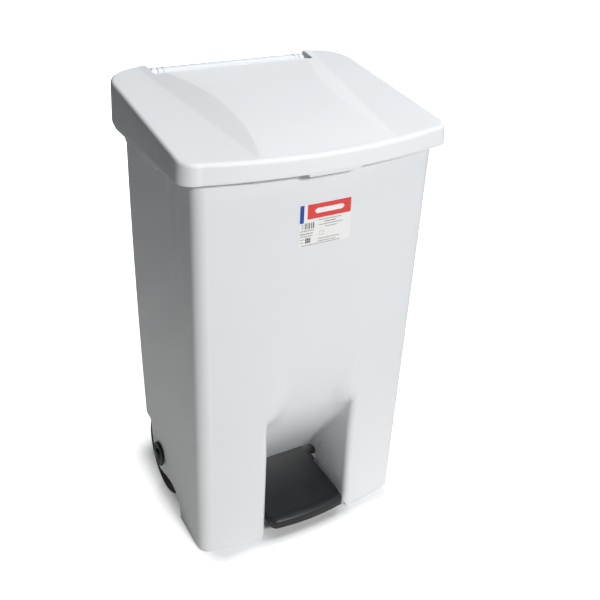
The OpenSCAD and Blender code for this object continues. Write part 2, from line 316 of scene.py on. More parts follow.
def bump_node(nodes, links, height, strength, distance):
    bump = nodes.new("ShaderNodeBump")
    bump.inputs["Strength"].default_value = strength
    bump.inputs["Distance"].default_value = distance
    links.new(height, bump.inputs["Height"])
    return bump


def moulded_plastic(name, colour, shade, rough, grain, grain_depth, wave=0.0, edge=0.0):
    """Injection-moulded plastic: two close tones in broad patches, a fine spark-eroded grain, soft
    sink waviness, and a painted highlight on sharp edges, where the colour is lighter as if light caught
    them."""
    mat, nodes, links, shader, coords = node_material(name)
    patches = noise_node(nodes, links, coords, 5.0, 4.0, 0.55)
    tone = ramp(nodes, links, patches, [(0.30, (*shade, 1)), (0.70, (*colour, 1))])
    # Painted highlight: the edge argument sets how far sharp convex edges are mixed towards a lighter tone.
    if edge:
        geometry = nodes.new("ShaderNodeNewGeometry")
        painted_edge_highlight = ramp(nodes, links, geometry.outputs["Pointiness"], [(0.53, grey(0)), (0.60, grey(edge))])
        mix = nodes.new("ShaderNodeMix")
        mix.data_type = "RGBA"
        links.new(painted_edge_highlight, mix.inputs["Factor"])
        links.new(tone, mix.inputs["A"])
        mix.inputs["B"].default_value = (*[min(1.0, c * 1.3 + 0.06) for c in colour], 1)
        tone = mix.outputs["Result"]
    links.new(tone, shader.inputs["Base Color"])
    handled = noise_node(nodes, links, coords, 14.0, 5.0, 0.6)
    links.new(ramp(nodes, links, handled, [(0.3, grey(rough - 0.05)), (0.7, grey(rough + 0.06))]),
              shader.inputs["Roughness"])
    fine = noise_node(nodes, links, coords, grain, 2.0, 0.6)
    bump = bump_node(nodes, links, fine, 0.35, grain_depth)
    if wave:
        sink = bump_node(nodes, links, noise_node(nodes, links, coords, 9.0, 1.0, 0.4), 0.5, wave)
        links.new(sink.outputs["Normal"], bump.inputs["Normal"])
    links.new(bump.outputs["Normal"], shader.inputs["Normal"])
    shader.inputs["IOR"].default_value = 1.49
    return mat


def zinc_steel(name, colour, rough, stretch):
    """Zinc-plated steel: drawn lines along the part and faint spangle."""
    mat, nodes, links, shader, coords = node_material(name)
    shader.inputs["Metallic"].default_value = 1.0
    spangle = noise_node(nodes, links, coords, 60.0, 3.0, 0.6)
    dark = tuple(c * 0.78 for c in colour)
    links.new(ramp(nodes, links, spangle, [(0.35, (*dark, 1)), (0.65, (*colour, 1))]),
              shader.inputs["Base Color"])
    lines = noise_node(nodes, links, coords, 40.0, 4.0, 0.7, stretch)
    links.new(ramp(nodes, links, lines, [(0.3, grey(rough - 0.08)), (0.7, grey(rough + 0.12))]),
              shader.inputs["Roughness"])
    bump = bump_node(nodes, links, lines, 0.2, 0.00008)
    links.new(bump.outputs["Normal"], shader.inputs["Normal"])
    return mat


def rubber(name, colour, dust):
    """Rubber with a matt bloom and dust in the hollows."""
    mat, nodes, links, shader, coords = node_material(name)
    specks = noise_node(nodes, links, coords, 35.0, 6.0, 0.65)
    links.new(ramp(nodes, links, specks, [(0.35, (*colour, 1)), (0.8, (*dust, 1))]),
              shader.inputs["Base Color"])
    shader.inputs["Roughness"].default_value = 0.72
    bump = bump_node(nodes, links, noise_node(nodes, links, coords, 700.0, 2.0, 0.5), 0.4, 0.0002)
    links.new(bump.outputs["Normal"], shader.inputs["Normal"])
    return mat


def print_ink(name, colour, rough=0.4):
    """Printed ink on coated paper, a little uneven, with the paper's tooth showing through."""
    mat, nodes, links, shader, coords = node_material(name)
    tooth = noise_node(nodes, links, coords, 420.0, 3.0, 0.6)
    pale = tuple(min(1.0, c * 1.12 + 0.012) for c in colour)
    links.new(ramp(nodes, links, tooth, [(0.35, (*colour, 1)), (0.75, (*pale, 1))]),
              shader.inputs["Base Color"])
    shader.inputs["Roughness"].default_value = rough
    bump = bump_node(nodes, links, tooth, 0.15, 0.00005)
    links.new(bump.outputs["Normal"], shader.inputs["Normal"])
    return mat


BODY_WHITE = moulded_plastic("body_white", (0.80, 0.815, 0.835), (0.785, 0.80, 0.82), 0.40,
                             1500.0, 0.00005, wave=0.0004)
LID_WHITE = moulded_plastic("lid_white", (0.82, 0.83, 0.845), (0.805, 0.815, 0.83), 0.55,
                            1500.0, 0.00005, wave=0.0003)
BAR_WHITE = moulded_plastic("bar_white", (0.755, 0.775, 0.805), (0.74, 0.76, 0.79), 0.42, 1500.0, 0.00004)
# edge= gives these black mouldings a painted highlight along their sharp edges.
BLACK = moulded_plastic("black_plastic", (0.0135, 0.0145, 0.016), (0.010, 0.0105, 0.012), 0.46,
                        900.0, 0.00012, edge=0.35)
HUB_BLACK = moulded_plastic("hub_black", (0.024, 0.024, 0.025), (0.017, 0.017, 0.018), 0.42,
                            900.0, 0.0001, edge=0.3)
TYRE = rubber("tyre_rubber", (0.016, 0.016, 0.017), (0.045, 0.043, 0.040))
BUFFER = rubber("buffer_rubber", (0.52, 0.53, 0.54), (0.60, 0.60, 0.60))
STEEL_X = zinc_steel("steel_x", (0.62, 0.63, 0.65), 0.32, (1.0, 40.0, 40.0))
STEEL_Y = zinc_steel("steel_y", (0.60, 0.61, 0.63), 0.36, (40.0, 1.0, 40.0))
STEEL_Z = zinc_steel("steel_z", (0.62, 0.63, 0.65), 0.30, (40.0, 40.0, 1.0))
PAPER = print_ink("label_paper", (0.83, 0.83, 0.82), 0.35)
INKS = {"red": print_ink("ink_red", (0.72, 0.055, 0.045)), "blue": print_ink("ink_blue", (0.018, 0.06, 0.36)),
        "grey": print_ink("ink_grey", (0.30, 0.30, 0.30)), "dark": print_ink("ink_dark", (0.13, 0.13, 0.13)),
        "white": print_ink("ink_white", (0.85, 0.85, 0.85))}


# ---- Body shell -----------------------------------------------------------------------------

def lerp(a, b, t):
    return a + (b - a) * t


def smooth(t):
    t = min(1.0, max(0.0, t))
    return t * t * (3 - 2 * t)


def plan_at(z):
    t = z / RIM_Z
    return {k: lerp(BASE_PLAN[k], RIM_PLAN[k], t) for k in RIM_PLAN}


def front_y(x, z):
    """The bowed front face."""
    p = plan_at(z)
    k = min(1.0, abs(x) / (p["half"] - CORNER_R))
    return p["front"] - p["bow"] * (1 - k * k)


def bezier(points, t):
    a, b, c, d = (np.array(p) for p in points)
    return (1 - t) ** 3 * a + 3 * t * (1 - t) ** 2 * b + 3 * t * t * (1 - t) * c + t ** 3 * d


SCOOP_CURVE = np.array([bezier(SCOOP, t) for t in np.linspace(0, 1, 200)])
SCOOP_END = SCOOP[0][1] + 0.03       # height over which there is no scoop
SCOOP_BLEND = 0.0035                 # softness of its meeting with the front face


def scoop_y(x, z):
    """Depth of the scooped wall at height z; above the scoop it is the front face itself. Towards
    its top the scoop grows shallower at the sides, so that the recess's edges fade out there."""
    face = front_y(x, z)
    y = float(np.interp(z, SCOOP_CURVE[::-1, 1], SCOOP_CURVE[::-1, 0]))
    d = y - face
    sides = smooth((abs(x) - 0.045) / (RECESS_HALF - 0.045)) * smooth((z - 0.212) / 0.075)
    depth = 0.5 * (d + math.sqrt(d * d + SCOOP_BLEND ** 2)) if z < SCOOP_END else 0.0
    return face + depth * smooth((SCOOP_END - z) / 0.03) * (1 - sides)


# The side wall's lower edge behind the legs: (y, z), rising over the wheel's hub to the rear.
UNDERCUT = np.array([(-0.064, 0.0300), (-0.061, 0.0345), (-0.054, 0.0400), (-0.045, 0.0450), (-0.036, 0.0480),
                     (-0.024, 0.0502), (-0.011, 0.0500), (0.004, 0.0470), (0.020, 0.0425), (0.036, 0.0400),
                     (0.048, 0.0410), (0.056, 0.0455), (0.063, 0.0570), (0.068, 0.0730), (0.0715, 0.0865),
                     (0.0745, 0.1000), (0.0768, 0.1180), (0.0800, 0.1300)])
# The recess walls' rear edge: (y, z), upright behind the leg, then curving back under the scoop.
RECESS_EDGE = np.array([(-0.0731, 0.0), (-0.0725, 0.0450), (-0.0712, 0.0525), (-0.0680, 0.0575),
                        (-0.0620, 0.0600), (-0.0540, 0.0590), (-0.0450, 0.0550)])


def rear_corner(z):
    """Radius of the rear corners, which is least about mid height."""
    return 0.0335 + 0.0090 * ((max(z, FLOOR_Z) - 0.450) / 0.285) ** 2


def wall_bottom(y):
    """Height of the side wall's lower edge at depth y."""
    if y < LEG_REAR:
        return 0.0
    return float(np.interp(y, UNDERCUT[:, 0], UNDERCUT[:, 1])) if y < UNDERCUT[-1, 0] else FLOOR_Z


def even(a, b, n, last=False):
    """n even steps from a towards b, with b itself when last is set."""
    return [lerp(a, b, i / n) for i in range(n + (1 if last else 0))]


def side_stations():
    """Fractions along the side wall, dense over the undercut, with pairs at the leg and band edges."""
    p = plan_at(0.0)
    lo, hi = p["front"] + CORNER_R, p["rear"] - rear_corner(0.0)
    ys = even(lo, LEG_REAR - 0.002, 16) + [LEG_REAR - 0.0012, LEG_REAR - 0.0004, LEG_REAR + 0.0004]
    ys += even(LEG_REAR + 0.0022, BAND_FRONT - 0.002, 12)
    ys += [BAND_FRONT - 0.001, BAND_FRONT + 0.001]
    ys += even(BAND_FRONT + 0.003, 0.055, 40) + even(0.055, 0.083, 22) + even(0.083, hi, 7, True)
    return [(y - lo) / (hi - lo) for y in ys]


SIDE_T = side_stations()
STEP_N = 9                 # points in each fillet of a stepped wall
ROUND_LEG = 0.009          # rounding of the legs' inner lower corners


def stepped(x0, near, far, r_near, r_far, spread, middle, sign, extra=()):
    """Points of a wall at x0 that leads from the curve near(x) to the curve far(x), with a fillet
    at each end and points between them at even shares and at extra ones. It runs towards smaller x
    when sign is -1. Where the wall is less deep than spread, it fades into a soft slope."""
    size = abs(far(x0) - near(x0)) + 1e-9
    ra, rb = min(r_near, size / 2), min(r_far, size / 2)
    fade = 1 - smooth(size / spread)
    wide = lerp(rb, r_near / 2, fade)
    turn = [math.pi / 2 * i / (STEP_N - 1) for i in range(STEP_N)]
    pts = [(-r_near * (1 - math.sin(a)), ra * (1 - math.cos(a)) / size) for a in turn]
    for t in sorted([i / middle for i in range(1, middle)] + list(extra)):
        pts.append((0.0, lerp(ra, size - rb, t) / size))
    pts += [(wide * (1 - math.cos(a)), 1 - rb * (1 - math.sin(a)) / size) for a in turn]
    n = len(pts) - 1
    out = []
    for i, (dx, share) in enumerate(pts):
        t = i / n
        x = x0 + sign * (lerp(dx, lerp(-r_near, wide, t), fade) + 0.0006 * t)
        out.append((x, lerp(near(x), far(x), lerp(share, smooth(t), fade))))
    return out


def recess_wall(z):
    """The recess's upright wall at height z, from the front face to the scoop. It leans outwards a
    little near its top, and has two extra points where its rear edge curves."""
    x0 = RECESS_HALF + 0.004 * smooth((z - 0.18) / 0.09)
    inner = lerp(0.004, 0.020, smooth((z - SCOOP[-1][1]) / 0.18))
    return stepped(x0, lambda x: front_y(x, z), lambda x: scoop_y(x, z), 0.012, inner, 0.016, 25, -1,
                   (0.842, 0.850))


def half_section(z):
    """Right half of the body's outline at height z, from the rear centre to the front centre, as
    (x, y, bottom height) points."""
    p = plan_at(z)
    half, front, rear = p["half"], p["front"], p["rear"]
    r = CORNER_R
    rr = rear_corner(z)
    floor = rear - max(0.0, rear - CHANNEL_Y)
    pts = [(x, floor, FLOOR_Z) for x in even(0.0, CHANNEL_HALF - 0.005, 4)]
    for x, y in stepped(CHANNEL_HALF, lambda x: floor, lambda x: rear, 0.0035, 0.0025, 0.003, 2, 1):
        pts.append((x, y, FLOOR_Z))
    pts += [(x, rear, FLOOR_Z) for x in even(CHANNEL_HALF + 0.006, half - rr, 26)]
    for i in range(16):
        a = math.pi / 2 * (1 - i / 16)
        pts.append((half - rr + rr * math.cos(a), rear - rr + rr * math.sin(a), FLOOR_Z))
    low = plan_at(0.0)
    for t in reversed(SIDE_T):
        y = lerp(front + r, rear - rr, t)
        pts.append((half, y, wall_bottom(lerp(low["front"] + r, low["rear"] - rear_corner(0.0), t))))
    for i in range(1, 15):
        a = -math.pi / 2 * i / 14
        pts.append((half - r + r * math.cos(a), front + r + r * math.sin(a), 0.0))
    wall = recess_wall(z)
    low_y = [q[1] for q in recess_wall(0.02)]
    pts += [(x, front_y(x, z), 0.0) for x in even(half - r, wall[0][0], 26)[1:]]
    for (x, y), ref in zip(wall, low_y):
        pts.append((x, y, float(np.interp(ref, RECESS_EDGE[:, 0], RECESS_EDGE[:, 1]))))
    pts += [(x, scoop_y(x, z), SCOOP[-1][1]) for x in even(wall[-1][0], 0.0, 14, True)[1:]]
    return pts


def body_skin():
    """Vertices and faces of the body's outer skin: rows that rise from the uneven lower edge to
    join_z, then level rows up to the rim."""
    join_z = 0.175
    upper = even(join_z, 0.30, 38) + even(0.30, 0.44, 22) + even(0.44, BAND_Z - 0.006, 26)
    upper += [BAND_Z + d for d in (-0.003, -0.0006, 0.0006, 0.003)]
    upper += [0.722, 0.736, 0.7412, 0.7424, 0.7445, RIM_Z - 0.001, RIM_Z]
    ref = half_section(0.02)
    n = len(ref)
    bottoms = [q[2] for q in ref]
    # Legs' inner lower corners are rounded: the bottom rises towards the recess edge.
    lengths = [0.0]
    for a, b in zip(ref, ref[1:]):
        lengths.append(lengths[-1] + math.dist(a[:2], b[:2]))
    corner = next(i for i, q in enumerate(ref) if q[1] < -0.1 and abs(q[0] - RECESS_HALF) < 0.0045)
    for i in range(n):
        a = abs(lengths[i] - lengths[corner])
        if bottoms[i] == 0.0 and a < ROUND_LEG:
            bottoms[i] = ROUND_LEG - math.sqrt(ROUND_LEG ** 2 - (ROUND_LEG - a) ** 2)
    low_rows = 26
    rows = [[lerp(low, join_z, k / low_rows) for low in bottoms] for k in range(low_rows)]
    rows += [[z] * n for z in upper]
    cache = {}

    def section(z):
        key = round(z, 5)
        if key not in cache:
            cache[key] = half_section(key)
        return cache[key]

    grid = [[Vector((*section(z)[i][:2], z)) for i, z in enumerate(row)] for row in rows]
    # The band along the sides and the flange at the rim stand out from the wall.
    for row in grid:
        base = [v.copy() for v in row]
        for i, v in enumerate(base):
            z = v.z
            d = base[min(n - 1, i + 1)] - base[max(0, i - 1)]
            out = Vector((d.y, -d.x, 0))
            if out.length > 1e-9:
                out.normalize()
            if out.dot(Vector((v.x, v.y, 0))) < 0:
                out = -out
            lift = 0.0
            if z >= BAND_Z - 1e-5 and v.y > BAND_FRONT and v.x > 0.15:
                lift = 0.002
            if z > FLANGE_Z:
                lift = 0.003
            if v.x < CHANNEL_HALF + 0.006 and v.y > 0:
                lift = 0.0
            # Shallow upright flutes near the front of each side wall, fading downwards.
            if v.x > plan_at(z)["half"] - 0.001 and FLUTES_FRONT < v.y < BAND_FRONT:
                u = (v.y - FLUTES_FRONT) / (BAND_FRONT - FLUTES_FRONT)
                lift += 0.0011 * math.sin(u * math.pi) * math.sin(u * math.pi * 5) * smooth((z - 0.40) / 0.30)
            row[i] = v + out * lift
    # Columns run from the front centre round the left side to the rear, then to the front again.
    verts, faces = [], []
    width = 2 * n - 1
    for row in grid:
        verts += [Vector((-v.x, v.y, v.z)) for v in row[:0:-1]] + row
    for j in range(len(grid) - 1):
        for i in range(width - 1):
            a = j * width + i
            faces.append((a, a + 1, a + width + 1, a + width))
        faces.append((j * width + width - 1, j * width, (j + 1) * width, (j + 1) * width + width - 1))
    return verts, faces


def body_shell():
    verts, faces = body_skin()
    shell = new_object("body_shell", verts, faces)
    weld(shell, 2e-6)
    face_out(shell, Vector((0, 0, 0.45)))
    thicken(shell, WALL, 0.0009)
    return shell


def section_loop(z, inset):
    """The closed body outline at height z, moved in, as [x, y] points."""
    right = half_section(z)
    pts = [(-x, y) for x, y, _ in right[:0:-1]] + [(x, y) for x, y, _ in right][:-1]
    out = []
    n = len(pts)
    for i in range(n):
        a, b = Vector(pts[i - 1]), Vector(pts[(i + 1) % n])
        d = b - a
        if d.length < 1e-7:
            continue
        normal = Vector((d.y, -d.x)).normalized()
        q = Vector(pts[i]) + normal * inset
        out.append((q.x, q.y))
    return out


def tub_floor():
    """The floor plate inside the tub, cut round the wheel wells."""
    loop = section_loop(FLOOR_Z + WALL / 2, WALL / 2)
    lo_y, hi_y = AXLE.y - WHEEL_R - 0.0095, AXLE.y + 0.0785
    plan = []
    for x, y in loop:
        if lo_y < y < hi_y and abs(x) > WELL_IN - 0.0015:
            x = math.copysign(WELL_IN - 0.0015, x)
        plan.append((x, y))
    plan = [p for i, p in enumerate(plan) if math.dist(p, plan[i - 1]) > 1e-5]
    flat = [Vector(p) for p in plan]
    res = delaunay_2d_cdt(flat, [], [list(range(len(flat)))], 1, 1e-7)
    verts = [(v.x, v.y, FLOOR_Z + WALL) for v in res[0]]
    obj = new_object("tub_floor", verts, res[2])
    face_up(obj)
    return thicken(obj, WALL, 0)


def wheel_well(side):
    """The arched cover over one wheel with its inner wall, which carries the axle."""
    r = WHEEL_R + 0.008
    c = AXLE
    ro = r + WALL
    crown = arc(c.y, c.z, r, math.pi, 0.61, 40)
    band = [(c.y - r, 0.050)] + crown + arc(c.y, c.z, ro, 0.60, math.pi, 40) + [(c.y - ro, 0.050)]
    x_in, x_out = WELL_IN - WALL, plan_at(0.1)["half"] - 0.0015
    cover = extrude_profile("well_cover", band, "x", *sorted((side * x_in, side * x_out)), 0)
    edge = [(y, wall_bottom(y) + 0.001) for y in np.linspace(c.y + 0.036, c.y - r, 40)]
    inner = [(c.y - r, 0.060)] + crown + [(0.0775, 0.128), (0.0735, 0.102), (0.0705, 0.0848)] + edge
    plate = extrude_profile("well_plate", inner, "x", *sorted((side * x_in, side * WELL_IN)), 0.0006)
    boss = lathe("well_boss", [(0.0064, 0), (0.0125, 0), (0.0125, 0.010), (0.0064, 0.010)],
                 side * (x_in - 0.010), AXLE, 40, side, 0.0006)
    return [cover, plate, boss]


def leg_walls():
    """The legs' rear walls and soles, and the bosses that carry the pedal's pivot rod."""
    parts = []
    for side in (-1, 1):
        p = plan_at(0.05)
        x0, x1 = RECESS_HALF + 0.001, p["half"] - 0.002
        quad = [(x0, -0.0745), (x1, LEG_REAR - 0.003), (x1, LEG_REAR), (x0, -0.0715)]
        quad = [(side * x, y) for x, y in quad]
        parts.append(extrude_profile("leg_wall", quad[::side], "z", 0.0005, FLOOR_Z + 0.001, 0))
        loop = [(x, y) for x, y in section_loop(0.0015, 0.0015)
                if side * x > RECESS_HALF + 0.0005 and y < -0.130]
        loop = [q for i, q in enumerate(loop) if i == 0 or math.dist(q, loop[i - 1]) > 1e-4]
        parts.append(extrude_profile("sole", loop, "z", 0.0, 0.0028, 0))
        parts.append(lathe("pivot_boss", [(0.0043, 0), (0.009, 0), (0.0085, 0.0012), (0.0043, 0.0012)],
                           side * (RECESS_HALF + 0.0003), centre_of("pedal_pivot_rod"), 40, side))
    return parts


def tub_ribs():
    """Stiffening ribs under the tub's floor, between the wheel wells."""
    top, foot = FLOOR_Z + 0.001, FLOOR_Z - 0.016
    prof = [(-0.040, top), (0.128, top), (0.122, foot), (-0.036, foot)]
    return [extrude_profile("rib", prof, "x", x - 0.0012, x + 0.0012, 0.0004)
            for x in (-0.105, -0.035, 0.035, 0.105)]


def ears():
    """The two upright ears behind the rim that hold the handle bar and the lid's pins."""
    parts = []
    prof = [(0.1575, 0.690), (0.1595, 0.690), (0.166, 0.706), (0.178, 0.738), (0.1845, 0.765), (0.187, 0.790)]
    prof += arc(HINGE.y, HINGE.z, 0.013, -0.15, math.pi + 0.15, 28) + [(0.1605, 0.785), (0.1575, 0.760)]
    for low, high in ((-0.160, -0.150), (0.150, 0.160)):
        parts.append(extrude_profile("ear", prof, "x", low, high, 0.0022))
    return parts


# ---- Moulded caps: a top surface with rounded edges and a skirt ------------------------------

def inside(poly, pts):
    """Which points lie inside a closed outline."""
    x, y = pts[:, 0], pts[:, 1]
    hit = np.zeros(len(pts), bool)
    px, py = poly[:, 0], poly[:, 1]
    j = len(poly) - 1
    for i in range(len(poly)):
        crosses = (py[i] > y) != (py[j] > y)
        with np.errstate(divide="ignore", invalid="ignore"):
            at = (px[j] - px[i]) * (y - py[i]) / (py[j] - py[i] + 1e-18) + px[i]
        hit ^= crosses & (x < at)
        j = i
    return hit


def edge_distance(poly, pts):
    """How far each point lies from a closed outline."""
    best = np.full(len(pts), 1e9)
    for a, b in zip(poly, np.roll(poly, -1, 0)):
        d = b - a
        t = np.clip(((pts - a) @ d) / max(1e-18, d @ d), 0, 1)
        best = np.minimum(best, np.linalg.norm(pts - (a + t[:, None] * d), axis=1))
    return best


def cap_mesh(name, outline, height, radius, bottom, flare, spacing, creases=(), skirt_rows=6):
    """A moulded cap. outline: counter-clockwise [x, y]; height(x, y) of the top; radius and bottom
    hold one value a point; the skirt flares outwards by flare at its lower edge; creases are lines
    of [x, y] points that the top's mesh has to follow."""
    poly = np.array(outline)
    n = len(poly)
    nxt, prv = np.roll(poly, -1, 0), np.roll(poly, 1, 0)
    e1, e2 = poly - prv, nxt - poly
    n1 = np.stack([-e1[:, 1], e1[:, 0]], 1) / np.linalg.norm(e1, axis=1)[:, None]
    n2 = np.stack([-e2[:, 1], e2[:, 0]], 1) / np.linalg.norm(e2, axis=1)[:, None]
    mid = n1 + n2
    mid /= np.linalg.norm(mid, axis=1)[:, None]
    inward = mid / np.maximum(0.5, (mid * n1).sum(1))[:, None]
    radius, bottom, flare = np.array(radius), np.array(bottom), np.broadcast_to(flare, (n,))
    rings = []
    arc_steps = 7
    tops = np.array([height(*p) for p in poly + inward * radius[:, None]])
    for k in range(skirt_rows):
        t = k / skirt_rows
        z = bottom + (tops - radius - bottom) * t
        xy = poly - inward * (flare * (1 - t))[:, None]
        rings.append(np.column_stack([xy, z]))
    for k in range(arc_steps + 1):
        a = math.pi / 2 * k / arc_steps
        xy = poly + inward * (radius * (1 - math.cos(a)))[:, None]
        level = np.array([height(*p) for p in xy])
        z = level - radius * (1 - math.sin(a))
        rings.append(np.column_stack([xy, z]))
    verts = [tuple(v) for ring in rings for v in ring]
    faces = []
    for j in range(len(rings) - 1):
        for i in range(n):
            k = (i + 1) % n
            faces.append((j * n + i, j * n + k, (j + 1) * n + k, (j + 1) * n + i))
    inner = rings[-1][:, :2]
    lo, hi = inner.min(0), inner.max(0)
    xs = np.arange(math.floor(lo[0] / spacing) * spacing, hi[0] + spacing, spacing)
    ys = np.arange(math.floor(lo[1] / spacing) * spacing, hi[1] + spacing, spacing)
    cloud = np.array([(x, y) for y in ys for x in xs])
    lines = [np.array(c) for c in creases]
    if lines:
        crease_pts = np.concatenate(lines)
        keep = np.ones(len(cloud), bool)
        for p in crease_pts:
            keep &= np.linalg.norm(cloud - p, axis=1) > spacing * 0.55
        cloud = np.concatenate([cloud[keep], crease_pts])
    cloud = cloud[inside(inner, cloud)]
    cloud = cloud[edge_distance(inner, cloud) > min(0.0018, spacing * 0.4)]
    flat = [Vector(p) for p in inner] + [Vector(p) for p in cloud]
    res = delaunay_2d_cdt(flat, [], [list(range(n))], 1, 1e-7)
    base = len(verts)
    verts += [(v.x, v.y, height(v.x, v.y)) for v in res[0]]
    faces += [tuple(base + i for i in f) for f in res[2]]
    obj = weld(new_object(name, verts, faces), 3e-6)
    lo_z, hi_z = min(v[2] for v in verts), max(v[2] for v in verts)
    return face_out(obj, Vector((0, float(poly[:, 1].mean()), (lo_z + hi_z) / 2 - 0.02)))


# ---- Lid ------------------------------------------------------------------------------------

LID_FRONT = -0.199                 # where the front edge would be if it were straight
PANEL_MID, PANEL_REACH, PANEL_H = -0.005, 0.208, 0.011
FACET_FOOT = (0.129, -0.200)       # where a facet's lower line meets the front
FACET_TURN = math.radians(8.25)
FACET_RISE = math.tan(math.radians(13.2))


def lid_front(x, k):
    """The lid's bowed front edge; k is the half width over which it bows."""
    return LID_FRONT - 0.0258 * (1 - (x / k) ** 2)


def facet_distance(x, y):
    """How far a point lies inside the facet's lower line, on either side of the lid."""
    dx, dy = FACET_FOOT[0] - abs(x), y - FACET_FOOT[1]
    return dx * math.cos(FACET_TURN) + dy * math.sin(FACET_TURN)


def panel_arch(y):
    """The centre panel's rise at its middle, from the front to the rear."""
    u = (y - PANEL_MID) / PANEL_REACH
    return PANEL_H * (1 - u * u)


def panel_height(x, y):
    """The panel's rise: the lower of its arch and its facets, blended softly."""
    arch = panel_arch(y)
    facet = facet_distance(x, y) * FACET_RISE
    soft = 0.00035
    low = 0.5 * (arch + facet - math.sqrt((arch - facet) ** 2 + soft ** 2))
    return 0.5 * (low + math.sqrt(low * low + soft ** 2))


def lid_height(x, y):
    return LID_TOP + LID_SLOPE * y + panel_height(x, y)


def lid_outline():
    """The bowed front edge, the right side round its rear lobe into the notch, and its mirror image."""
    half, front, rear = (LID_HI.x - LID_LO.x) / 2 - 0.001, LID_FRONT, LID_HI.y
    rf, rx, ry, rn, rc = 0.031, 0.074, 0.065, 0.009, 0.013
    k = half - rf
    edge = [(x, lid_front(x, k)) for x in np.linspace(-k, k, 90)[:-1]]
    right = arc_points(k, front + rf, rf, -90, 0, 18)
    right += [(half, y) for y in np.linspace(front + rf, rear - ry, 60)[1:-1]]
    right += [(half - rx + rx * math.cos(a), rear - ry + ry * math.sin(a))
              for a in np.linspace(0, math.pi / 2, 26)]
    right += arc_points(NOTCH_HALF + rn, rear - rn, rn, 90, 180, 9)
    right += [(NOTCH_HALF, y) for y in np.linspace(rear - rn, NOTCH_Y + rc, 8)[1:-1]]
    right += arc_points(NOTCH_HALF - rc, NOTCH_Y + rc, rc, 0, -90, 9)
    outline = edge + right + [(x, NOTCH_Y) for x in np.linspace(NOTCH_HALF - rc, -NOTCH_HALF + rc, 62)[1:-1]]
    outline += [(-x, y) for x, y in right[::-1]]
    clean = []
    for p in outline:
        if not clean or math.dist(p, clean[-1]) > 1e-5:
            clean.append(p)
    if math.dist(clean[0], clean[-1]) < 1e-5:
        clean.pop()
    return clean


def skirt_bottom(x, y):
    """Height of the lid's lower edge, which rises towards the rear and in the notch."""
    rise = smooth((y - 0.100) / 0.052)
    z = lerp(SKIRT_Z, REAR_SKIRT_Z, rise)
    if abs(x) < NOTCH_HALF + 1e-4 and y > 0:
        z = lerp(REAR_SKIRT_Z, 0.780, smooth((0.172 - y) / 0.028))
    return z


def lid_shell():
    outline = lid_outline()
    notch = [abs(x) < NOTCH_HALF + 1e-4 and y > 0 for x, y in outline]
    radius = [0.0028 if cut else 0.0065 for cut in notch]
    bottom = [skirt_bottom(x, y) for x, y in outline]
    flare = np.array([0.0 if cut else lerp(0.0018, 0.0004, smooth((y + 0.10) / 0.15))
                      for cut, (x, y) in zip(notch, outline)])
    creases = []
    for side in (-1, 1):
        for off in (-0.0028, -0.0014, -0.0004, 0.0004, 0.0014, 0.0028):
            creases.append([(side * (FACET_FOOT[0] + off + math.tan(FACET_TURN) * (s - FACET_FOOT[1])), s)
                            for s in np.arange(-0.212, 0.186, 0.004)])
        for off in (-0.0030, -0.0016, -0.0005, 0.0005, 0.0016, 0.0030):
            line = []
            for s in np.arange(-0.196, 0.186, 0.004):
                inward = panel_arch(s) / FACET_RISE
                if inward < 0.004:
                    continue
                along = (s - FACET_FOOT[1]) * math.sin(FACET_TURN)
                x = FACET_FOOT[0] - off - (inward - along) / math.cos(FACET_TURN)
                line.append((side * x, s))
            creases.append(line)
    skin = cap_mesh("lid_shell", outline, lid_height, radius, bottom, flare, 0.0065, creases)
    return thicken(skin, WALL, 0.0008)


def lid_fittings():
    """The finger tab, the hinge bosses, the lugs for the push rod's link pin and ribs underneath."""
    parts = []
    outer = [(x, lid_front(x, 0.215) - 0.0006) for x in np.linspace(-0.048, 0.050, 24)]
    inner = [(x, lid_front(x, 0.215) + 0.0040) for x in np.linspace(0.046, -0.044, 24)]
    parts.append(extrude_profile("finger_tab", outer + inner, "z", SKIRT_Z - 0.0055, SKIRT_Z + 0.004, 0.0012))
    link = centre_of("lid_link_pin")
    for side in (-1, 1):
        parts.append(ring_boss("hinge_boss", 0.0041, 0.0045, side * 0.172, HINGE, side, 0.0006))
        nose = arc_points(link.y, link.z, 0.006, -75, 100, 16)
        prof = [(NOTCH_Y - 0.0015, 0.783)] + nose + [(NOTCH_Y - 0.0015, 0.808)]
        x0 = 0.0055 if side > 0 else -0.0085
        parts.append(extrude_profile("link_lug", prof, "x", x0, x0 + 0.003, 0.0006))
    for x in (-0.120, -0.040, 0.040, 0.120):
        ys = np.linspace(-0.20, NOTCH_Y - 0.004, 24)
        top = [(y, lid_height(x, y) - WALL - 0.0002) for y in ys]
        low = [(y, lid_height(x, y) - WALL - 0.006) for y in ys[::-1]]
        parts.append(extrude_profile("lid_rib", low[::-1] + top[::-1], "x", x - 0.001, x + 0.001, 0.0003))
    return parts


# ---- Pedal ----------------------------------------------------------------------------------

def pedal_height(x, y):
    """Dished across and rising a little to a bead along the front lip."""
    inner = PEDAL_HALF - 0.006
    dish = 0.0032 * (1 - (x / inner) ** 2) if abs(x) < inner else 0.0
    lip = pedal_front(x) + 0.0135
    back = smooth((y - lip) / 0.007)
    step = 0.0011 * smooth((y - lip + 0.001) / 0.003) - 0.0011
    return 0.0400 - dish * back - step * (1 - back)


def pedal_front(x):
    """The lip's bowed front edge."""
    k = PEDAL_HALF - 0.013
    return -0.196 - 0.005 * (1 - min(1.0, abs(x) / k) ** 2)


